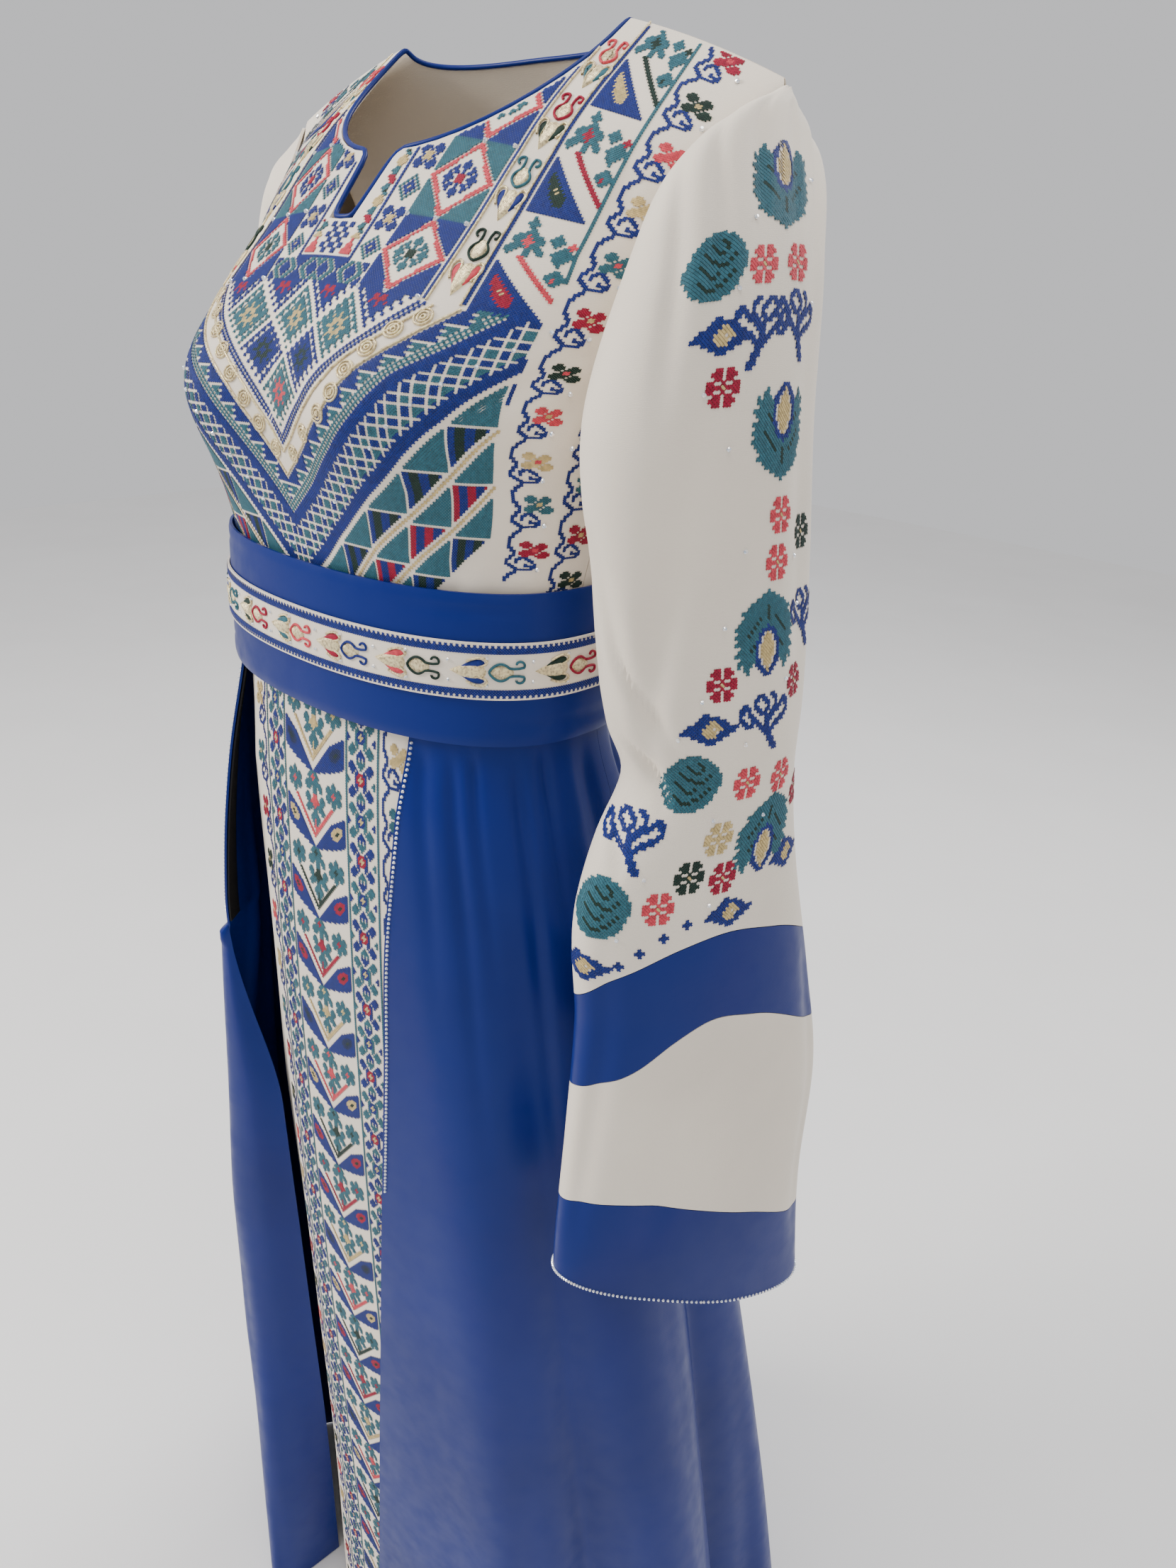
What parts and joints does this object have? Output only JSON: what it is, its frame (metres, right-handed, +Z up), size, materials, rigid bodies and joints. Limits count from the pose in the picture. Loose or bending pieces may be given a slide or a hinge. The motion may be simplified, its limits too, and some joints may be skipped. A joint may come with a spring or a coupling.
{
  "type": "palestinian thobe dress",
  "caption": "Long embroidered dress worn and hollow: round notched neck, long sleeves with banded cuffs, wide belt and an overskirt open in front over a panel.",
  "frame": {"origin": "middle of the shoulder line, between the two shoulder seams, where the wearer holds the dress up", "axes": "+Z up, the front faces -Y, the wearer's left is +X"},
  "size_m": [0.6279, 0.4685, 1.4999],
  "materials": {
    "cream_crepe": "fine matt crepe",
    "blue_satin": "soft satin",
    "black_facing": "matt"
  },
  "bodies": {
    "root": {"bodice_front": "cream_crepe", "bodice_back": "cream_crepe", "neck_facing": "cream_crepe", "neck_piping": "blue_satin", "sleeve_left_upper": "cream_crepe", "sleeve_left_band": "blue_satin", "sleeve_left_panel": "cream_crepe", "sleeve_left_cuff": "blue_satin", "sleeve_right_upper": "cream_crepe", "sleeve_right_band": "blue_satin", "sleeve_right_panel": "cream_crepe", "sleeve_right_cuff": "blue_satin", "belt": "blue_satin", "belt_band": "cream_crepe", "skirt_front_panel": "cream_crepe", "skirt_left": "blue_satin", "skirt_back": "blue_satin", "skirt_right": "blue_satin", "flap_facing": "black_facing"}
  },
  "joints": []
}
